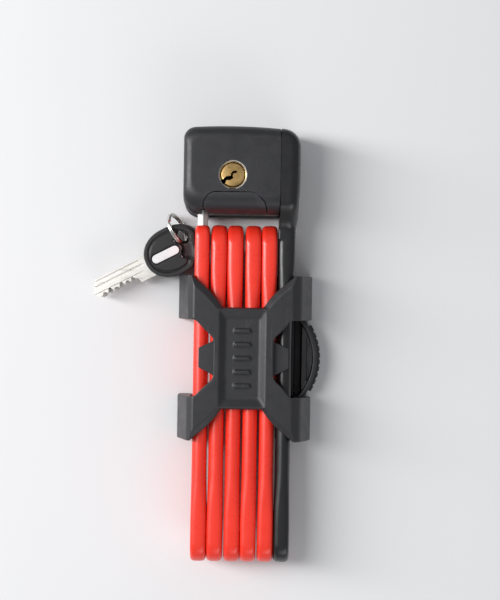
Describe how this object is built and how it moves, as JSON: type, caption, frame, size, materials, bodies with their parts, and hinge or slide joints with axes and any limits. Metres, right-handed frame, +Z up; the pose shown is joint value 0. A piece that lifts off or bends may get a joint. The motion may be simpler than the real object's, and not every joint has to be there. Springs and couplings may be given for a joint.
{
  "type": "folding bike lock",
  "caption": "Folding lock of hinged coated bars with a key-operated lock body, a clip-on frame holder and keys on a ring, folded flat.",
  "frame": {"origin": "middle of the whole layout's footprint, on the surface it lies on", "axes": "+X across the stack of bars, away from the keys; +Y along the bars towards the lock body; +Z up out of the lock's front face"},
  "size_m": [0.1044, 0.1978, 0.032],
  "materials": {
    "casing_plastic": "fine satin grain",
    "die_cast_zinc": "as cast",
    "bare_steel": "ground",
    "chromed_steel": "polished",
    "plug_brass": "turned face",
    "washer_plastic": "smooth",
    "red_coating": "satin, slightly soft",
    "black_coating": "satin, slightly soft",
    "holder_plastic": "fine grain with light scuffs",
    "pad_rubber": "matt",
    "ring_steel": "nickel plated",
    "key_nickel": "nickel plated",
    "key_plastic": "satin",
    "inset_silver": "satin silver"
  },
  "bodies": {
    "holder": {"holder_shell": "holder_plastic", "retainer_plate": "holder_plastic", "strap_saddle": "holder_plastic", "frame_pad": "pad_rubber"},
    "bar_1": {"bar_1_core": "bare_steel", "bar_1_coat": "black_coating", "side_cover": "casing_plastic", "rivet_12": "bare_steel", "washer_12": "washer_plastic", "body_rivet": "bare_steel"},
    "lock_body": {"body_shell": "casing_plastic", "rear_cover": "casing_plastic", "front_insert": "casing_plastic", "lock_case": "die_cast_zinc", "cover_screws": "bare_steel", "cylinder_sleeve": "chromed_steel", "plug_clip": "bare_steel", "tumbler_pins": "plug_brass", "tumbler_springs": "bare_steel", "body_washer": "washer_plastic"},
    "plug": {"cylinder_plug": "plug_brass", "plug_cam": "bare_steel"},
    "bolt": {"locking_bolt": "bare_steel"},
    "bar_2": {"bar_2_core": "bare_steel", "bar_2_coat": "red_coating", "rivet_23": "bare_steel", "washer_23": "washer_plastic"},
    "bar_3": {"bar_3_core": "bare_steel", "bar_3_coat": "red_coating", "rivet_34": "bare_steel", "washer_34": "washer_plastic"},
    "bar_4": {"bar_4_core": "bare_steel", "bar_4_coat": "red_coating", "rivet_45": "bare_steel", "washer_45": "washer_plastic"},
    "bar_5": {"bar_5_core": "bare_steel", "bar_5_coat": "red_coating", "rivet_56": "bare_steel", "washer_56": "washer_plastic"},
    "bar_6": {"bar_6_core": "bare_steel", "bar_6_coat": "red_coating"},
    "key_ring": {"key_ring": "ring_steel"},
    "key_1": {"key_1_blade": "key_nickel", "key_1_head": "key_plastic", "key_1_inset": "inset_silver"},
    "key_2": {"key_2_blade": "key_nickel", "key_2_head": "key_plastic", "key_2_inset": "inset_silver"}
  },
  "joints": [
    {"name": "lock_slide", "type": "slide", "parent": "holder", "child": "bar_1", "axis": [0, 1, 0], "range_m": [0, 0.15]},
    {"name": "body_swing", "type": "hinge", "parent": "bar_1", "child": "lock_body", "pos_m": [0.0364, 0.08635, 0.014], "axis": [-1, 0, 0], "range_deg": [0, 180]},
    {"name": "plug_turn", "type": "hinge", "parent": "lock_body", "child": "plug", "pos_m": [0.0109, 0.07695, 0.02], "axis": [0, 0, -1], "range_deg": [0, 90]},
    {"name": "bolt_throw", "type": "slide", "parent": "lock_body", "child": "bolt", "axis": [-1, 0, 0], "range_m": [0, 0.0027]},
    {"name": "pivot_12", "type": "hinge", "parent": "bar_1", "child": "bar_2", "pos_m": [0.0316, -0.08995, 0.015], "axis": [-1, 0, 0], "range_deg": [0, 180]},
    {"name": "pivot_23", "type": "hinge", "parent": "bar_2", "child": "bar_3", "pos_m": [0.024, 0.04585, 0.015], "axis": [-1, 0, 0], "range_deg": [-180, 0]},
    {"name": "pivot_34", "type": "hinge", "parent": "bar_3", "child": "bar_4", "pos_m": [0.0164, -0.08995, 0.015], "axis": [-1, 0, 0], "range_deg": [0, 180]},
    {"name": "pivot_45", "type": "hinge", "parent": "bar_4", "child": "bar_5", "pos_m": [0.0088, 0.04585, 0.015], "axis": [-1, 0, 0], "range_deg": [-180, 0]},
    {"name": "pivot_56", "type": "hinge", "parent": "bar_5", "child": "bar_6", "pos_m": [0.0012, -0.08995, 0.015], "axis": [-1, 0, 0], "range_deg": [0, 180]},
    {"name": "keys_lift", "type": "slide", "parent": "holder", "child": "key_ring", "axis": [0, 0, 1], "range_m": [0, 0.1]},
    {"name": "key_1_swing", "type": "hinge", "parent": "key_ring", "child": "key_1", "pos_m": [-0.01435, 0.05306, 0.00802], "axis": [-0.8224, -0.4281, -0.3746], "range_deg": [0, 90]},
    {"name": "key_2_swing", "type": "hinge", "parent": "key_ring", "child": "key_2", "pos_m": [-0.01435, 0.05306, 0.00802], "axis": [-0.8224, -0.4281, -0.3746], "range_deg": [0, 90]}
  ],
  "couplings": [
    {"joint": "plug_turn", "follows": "bolt_throw", "rad_per_m": 581.77},
    {"joint": "pivot_23", "follows": "pivot_12", "ratio": -1},
    {"joint": "pivot_45", "follows": "pivot_34", "ratio": -1},
    {"joint": "key_2_swing", "follows": "key_1_swing", "ratio": 1}
  ]
}
